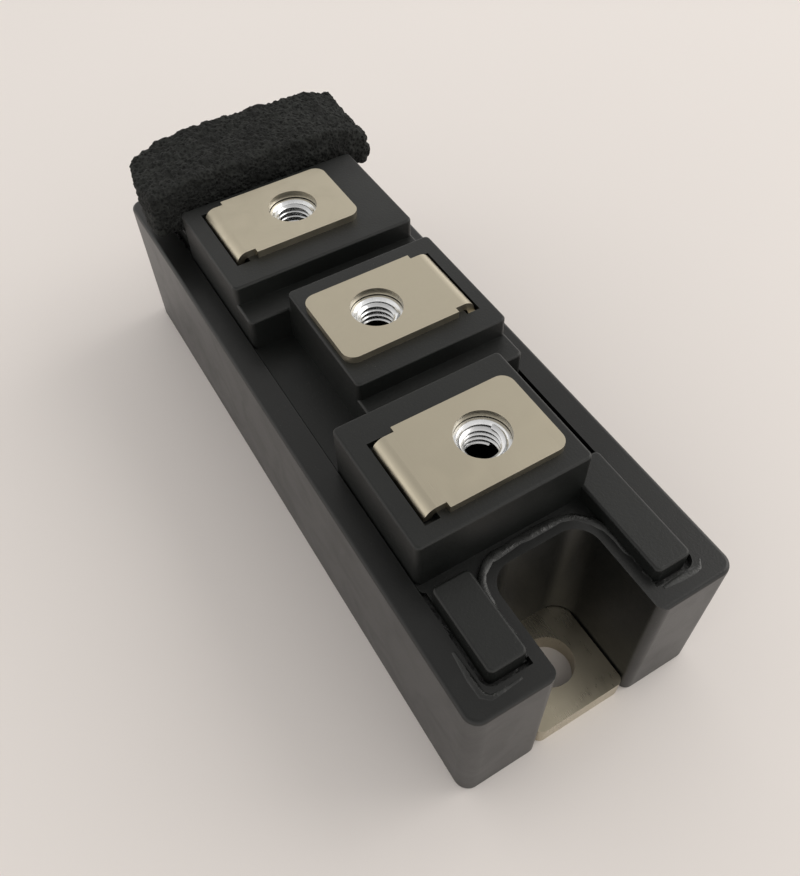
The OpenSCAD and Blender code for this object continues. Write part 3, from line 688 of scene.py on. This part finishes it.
class MODULE_OT_nuts(bpy.types.Operator):
    """Model the hexagon nuts with a cut thread, one under each terminal"""

    bl_idname = "module.nuts"
    bl_label = "Threaded nuts"

    def thread_ridge(self, settings, root, low, high):
        """A triangular ridge wound inside the bore, from below the nut's foot to its top."""
        clear_selection()
        pitch = settings.pitch
        bpy.ops.mesh.primitive_plane_add(size=1.0)
        ridge = bpy.context.object
        sunk = root + 0.03 * MM
        corners = (
            (sunk, 0.0),
            (root - settings.depth, 0.34 * pitch),
            (root - settings.depth, 0.50 * pitch),
            (sunk, 0.84 * pitch),
        )
        ring = (corners[0], corners[1], corners[3], corners[2])
        for vertex, (radius, height) in zip(ridge.data.vertices, ring):
            vertex.co = (radius, 0.0, low + height)
        turns = int((high - low) / pitch)
        only(ridge)
        apply_modifier(
            ridge, "SCREW", axis="Z", angle=2 * math.pi, screw_offset=pitch, iterations=turns,
            steps=settings.facets, render_steps=settings.facets, use_normal_calculate=True,
        )
        return ridge

    def execute(self, context):
        settings = context.scene.module_nuts
        low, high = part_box("nut_middle")
        centre = (low + high) / 2
        height = high.z - low.z
        flats = (high.y - low.y) / 2
        corner = flats / math.cos(math.radians(30))
        root = THREAD_CREST + settings.depth
        clear_selection()
        bpy.ops.mesh.primitive_cylinder_add(
            vertices=6, radius=corner, depth=height,
            location=(0, 0, centre.z), rotation=(0, 0, math.radians(30)),
        )
        body = settle(bpy.context.object, "nut_body")
        if (max(v.co.y for v in body.data.vertices) - flats) > 0.01 * MM:
            raise RuntimeError("the nut's flats don't face across the case")
        clear_selection()
        bpy.ops.mesh.primitive_cone_add(
            vertices=96, radius1=corner - 0.05 * MM, radius2=corner - 0.75 * MM, depth=0.45 * MM,
            location=(0, 0, high.z - 0.2 * MM),
        )
        dome = bpy.context.object
        select_where(dome, lambda f: f.normal.z < -0.9)
        bpy.ops.mesh.extrude_region_move(TRANSFORM_OT_translate={"value": (0, 0, -height)})
        leave_edit()
        apply_modifier(body, "BOOLEAN", operation="INTERSECT", object=dome, solver="EXACT")
        bpy.data.objects.remove(dome)
        clear_selection()
        bpy.ops.mesh.primitive_cylinder_add(vertices=96, radius=root, depth=height * 1.4, location=centre)
        drill = bpy.context.object
        apply_modifier(body, "BOOLEAN", operation="DIFFERENCE", object=drill, solver="EXACT")
        bpy.data.objects.remove(drill)
        for end, tip in ((high.z, 1), (low.z, -1)):
            clear_selection()
            bpy.ops.mesh.primitive_cone_add(
                vertices=96, radius1=2.05 * MM, radius2=2.95 * MM, depth=0.9 * MM,
                location=(0, 0, end - tip * 0.4 * MM), rotation=(0 if tip > 0 else math.pi, 0, 0),
            )
            sink = bpy.context.object
            apply_modifier(body, "BOOLEAN", operation="DIFFERENCE", object=sink, solver="EXACT")
            bpy.data.objects.remove(sink)
        ridge = self.thread_ridge(settings, root, low.z + 0.15 * MM, high.z - 0.35 * MM)
        only(body)
        ridge.select_set(True)
        bpy.ops.object.join()
        apply_modifier(
            body, "BEVEL", width=0.06 * MM, segments=2, limit_method="ANGLE", angle_limit=math.radians(35)
        )
        smooth(body, 32.0)
        tint = tuple(context.scene.module_colours.zinc)
        zinc = plated_metal("Zinc plate", tint, 0.2, 0.03, (0.66, 0.68, 0.7), 0.0, 0.3)
        for node in NUT_NODES:
            node_low, node_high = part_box(node)
            only(body)
            bpy.ops.object.duplicate()
            nut = bpy.context.object
            nut.location = ((node_low.x + node_high.x) / 2, 0.0, 0.0)
            nut.rotation_euler.z = math.radians(60 * NUT_NODES.index(node))
            settle(nut, f"threaded_{node}")
            finish_piece(nut, zinc)
            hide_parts(node)
        bpy.data.objects.remove(body)
        return {"FINISHED"}


# ---------------------------------------------------------------- foam


class MODULE_OT_foam(bpy.types.Operator):
    """Model the torn foam block that covers the signal tabs"""

    bl_idname = "module.foam"
    bl_label = "Foam block"

    def execute(self, context):
        settings = context.scene.module_foam
        skin = settings.pit * 0.5
        low = FOAM_LOW + Vector((-skin, 0.0, 0.05 * MM))
        high = FOAM_HIGH + Vector((-skin, skin, settings.crown))
        foam = box_piece("foam", low, high)
        bpy.ops.object.mode_set(mode="EDIT")
        bpy.ops.mesh.select_all(action="SELECT")
        bpy.ops.mesh.subdivide(number_cuts=11)
        bpy.ops.mesh.bevel(offset=0.3 * MM, segments=1)
        leave_edit()
        self.settle_ends(foam, low, high)
        apply_modifier(foam, "REMESH", mode="VOXEL", voxel_size=settings.voxel, use_smooth_shade=True)
        displace(foam, "CLOUDS", 3.2 * MM, settings.swell, noise_depth=1)
        displace(
            foam, "VORONOI", settings.cell, settings.pit, distance_metric="DISTANCE", noise_intensity=1.3
        )
        displace(foam, "CLOUDS", 0.5 * MM, settings.pit * 0.55, noise_depth=2)
        self.keep_bottom(foam, FOAM_LOW.z)
        smooth(foam, 75.0)
        finish_piece(foam, open_foam("Open foam", tuple(context.scene.module_colours.foam)))
        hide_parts("foam_block")
        return {"FINISHED"}

    def settle_ends(self, foam, low, high):
        """Pulls the block off square, as it was cut and has been pressed down."""
        arch, droop, bulge = 1.2 * MM, 0.9 * MM, 0.7 * MM
        corner_in, corner_along = 2.2 * MM, 0.8 * MM
        span = high - low
        for vertex in foam.data.vertices:
            along = (vertex.co.y - low.y) / span.y
            up = (vertex.co.z - low.z) / span.z
            back = (high.x - vertex.co.x) / span.x
            off_centre = abs(2 * along - 1)
            vertex.co.z -= up * off_centre**3 * arch
            drooping = max(0.0, along - 0.82) / 0.18
            vertex.co.z -= up * drooping**2 * (1.6 - back) * droop
            vertex.co.y += drooping * (1 - abs(2 * up - 0.7)) * bulge
            cut = max(0.0, 0.14 - along) / 0.14 * max(0.0, back - 0.55) / 0.45
            vertex.co.x += cut * corner_in
            vertex.co.y += cut * corner_along

    def keep_bottom(self, foam, floor):
        """Presses the underside flat where it rests."""
        for vertex in foam.data.vertices:
            vertex.co.z = max(vertex.co.z, floor)


# ---------------------------------------------------------------- sealing beads


class MODULE_OT_seal(bpy.types.Operator):
    """Model the adhesive in the lid joint and the uneven bead round the notch"""

    bl_idname = "module.seal"
    bl_label = "Sealing beads"

    def execute(self, context):
        settings = context.scene.module_seal
        black = adhesive("Lid adhesive", tuple(context.scene.module_colours.adhesive))
        dress("lid_seal", black)
        route = self.notch_route(RIM_Z - 0.12 * MM)
        bead = swept_bead("notch_bead", route, lambda share: self.swell(share, settings.bead), 0.45)
        displace(bead, "CLOUDS", 1.1 * MM, settings.lumps * 1.6, noise_depth=1)
        smooth(bead, 80.0)
        finish_piece(bead, black)
        for name, route in SMEARS.items():
            places = [(x * MM, y * MM, RIM_Z - 0.04 * MM) for x, y in route]
            smear = swept_bead(name, places, lambda share: self.swell(share, settings.smear), 0.3)
            displace(smear, "CLOUDS", 1.3 * MM, settings.lumps, noise_depth=1)
            smooth(smear, 80.0)
            finish_piece(smear, black)
        return {"FINISHED"}

    def swell(self, share, radius):
        """Half width of a bead: fullest in the middle of its route, thin at both ends."""
        middle = 1.0 - min(1.0, abs(share - 0.5) / 0.5) ** 2
        return radius * (0.35 + 0.65 * middle) * (0.8 + 0.4 * noise.noise(Vector((share * 9.0, 1.3, 0.7))))

    def notch_route(self, height):
        """Runs along one prong, round the back of the notch, and along the other prong."""
        side = 8.05 * MM
        back = 32.35 * MM
        radius = 4.6 * MM
        tip = 43.6 * MM
        points = []
        for step in range(8):
            points.append((tip + (back + radius - tip) * step / 8, -side))
        for step in range(9):
            turn = math.radians(270 - 90 * step / 8)
            centre = (back + radius, radius - side)
            points.append((centre[0] + radius * math.cos(turn), centre[1] + radius * math.sin(turn)))
        for step in range(1, 6):
            points.append((back, (-side + radius) + (2 * side - 2 * radius) * step / 6))
        for step in range(9):
            turn = math.radians(180 - 90 * step / 8)
            centre = (back + radius, side - radius)
            points.append((centre[0] + radius * math.cos(turn), centre[1] + radius * math.sin(turn)))
        for step in range(1, 9):
            points.append((back + radius + (tip - back - radius) * step / 8, side))
        wander = 0.14 * MM
        return [
            (
                x + wander * noise.noise(Vector((x / MM * 0.6, y / MM * 0.6, 0.0))),
                y + wander * noise.noise(Vector((x / MM * 0.6, y / MM * 0.6, 5.0))),
                height,
            )
            for x, y in points
        ]


# ---------------------------------------------------------------- stage


class MODULE_OT_stage(bpy.types.Operator):
    """Set the module on a pale table with soft light and the camera"""

    bl_idname = "module.stage"
    bl_label = "Stage"

    def execute(self, context):
        settings = context.scene.module_stage
        self.floor(tuple(context.scene.module_colours.floor))
        self.sky(settings.zenith, settings.horizon)
        self.lamp(settings.key)
        self.camera(context.scene, settings)
        context.scene.view_settings.view_transform = "Standard"
        return {"FINISHED"}

    def floor(self, base):
        clear_selection()
        bpy.ops.mesh.primitive_plane_add(size=4.0, location=(0, 0, CAD_LOW.z))
        floor = settle(bpy.context.object, "table_top")
        material, tree, shader, place = new_material("Table top", base)
        cloud = tree.ramp(tree.noise(place, 9.0, 2.0, 0.5), 0.3, 0.7)
        tree.feed(shader.inputs["Base Color"], tree.mix(cloud, tuple(0.985 * c for c in base), base))
        shader.inputs["Roughness"].default_value = 0.55
        shader.inputs["Specular IOR Level"].default_value = 0.25
        floor.data.materials.append(material)

    def sky(self, zenith, horizon):
        """Soft light that is stronger from the sides than from above."""
        world = bpy.data.worlds.new("Room light")
        bpy.context.scene.world = world
        world.use_nodes = True
        world.node_tree.nodes.clear()
        tree = Tree(world.node_tree)
        path = tree.add("ShaderNodeLightPath")
        around = tree.add("ShaderNodeTexCoord").outputs["Generated"]
        direction = tree.add("ShaderNodeSeparateXYZ", {0: around})
        strength = tree.ramp(direction.outputs["Z"], 0.0, 1.0, horizon, zenith)
        room = tree.add("ShaderNodeBackground", {"Color": (1.0, 0.98, 0.955), "Strength": strength})
        seen = tree.add("ShaderNodeBackground", {"Color": (0.83, 0.79, 0.755), "Strength": 1.0})
        mix = tree.add(
            "ShaderNodeMixShader",
            {0: path.outputs["Is Camera Ray"], 1: room.outputs[0], 2: seen.outputs[0]},
        )
        out = tree.add("ShaderNodeOutputWorld")
        tree.feed(out.inputs["Surface"], mix.outputs[0])

    def lamp(self, power):
        light = bpy.data.lights.new("Window light", "AREA")
        light.shape = "RECTANGLE"
        light.size = LAMP_SIZE
        light.size_y = LAMP_SIZE
        light.energy = power
        light.color = (1.0, 0.97, 0.93)
        lamp = bpy.data.objects.new("window_light", light)
        lamp.location = LAMP_PLACE
        aim = Vector((0, 0, 0.01)) - lamp.location
        lamp.rotation_euler = aim.to_track_quat("-Z", "Y").to_euler()
        bpy.context.scene.collection.objects.link(lamp)

    def camera(self, scene, settings):
        turn, tilt, roll = (math.radians(v) for v in (settings.azimuth, settings.elevation, settings.roll))
        target = Vector(LOOK_AT) * MM
        back = Vector((math.sin(turn) * math.cos(tilt), -math.cos(turn) * math.cos(tilt), math.sin(tilt)))
        data = bpy.data.cameras.new("Camera")
        data.lens = settings.lens
        data.sensor_width = 36.0
        data.clip_start = 0.005
        data.clip_end = 20.0
        camera = bpy.data.objects.new("camera", data)
        camera.location = target + back * settings.distance
        aim = (-back).to_track_quat("-Z", "Y")
        camera.rotation_mode = "QUATERNION"
        camera.rotation_quaternion = Quaternion(back, roll) @ aim
        scene.collection.objects.link(camera)
        scene.camera = camera


class VIEW3D_PT_module(bpy.types.Panel):
    """Buttons for each step, in the sidebar"""

    bl_label = "Power module"
    bl_space_type = "VIEW_3D"
    bl_region_type = "UI"
    bl_category = "Module"

    def draw(self, context):
        for step in STEPS:
            self.layout.operator(step.bl_idname)
        for name in SETTINGS:
            group = getattr(context.scene, name)
            column = self.layout.column(align=True)
            for key in group.bl_rna.properties.keys():
                if key not in ("rna_type", "name"):
                    column.prop(group, key)


STEPS = (
    MODULE_OT_stage,
    MODULE_OT_plastic_finish,
    MODULE_OT_metal_finish,
    MODULE_OT_inner_finish,
    MODULE_OT_nuts,
    MODULE_OT_foam,
    MODULE_OT_seal,
)


def register():
    for group in SETTINGS.values():
        bpy.utils.register_class(group)
    for step in STEPS:
        bpy.utils.register_class(step)
    bpy.utils.register_class(VIEW3D_PT_module)
    for name, group in SETTINGS.items():
        setattr(bpy.types.Scene, name, PointerProperty(type=group))


def unregister():
    for name in SETTINGS:
        delattr(bpy.types.Scene, name)
    bpy.utils.unregister_class(VIEW3D_PT_module)
    for step in reversed(STEPS):
        bpy.utils.unregister_class(step)
    for group in reversed(list(SETTINGS.values())):
        bpy.utils.unregister_class(group)


def main():
    register()
    for step in STEPS:
        area, action = step.bl_idname.split(".")
        result = getattr(getattr(bpy.ops, area), action)()
        if result != {"FINISHED"}:
            raise RuntimeError(f"{step.bl_label} did not finish")


if __name__ == "__main__":
    main()
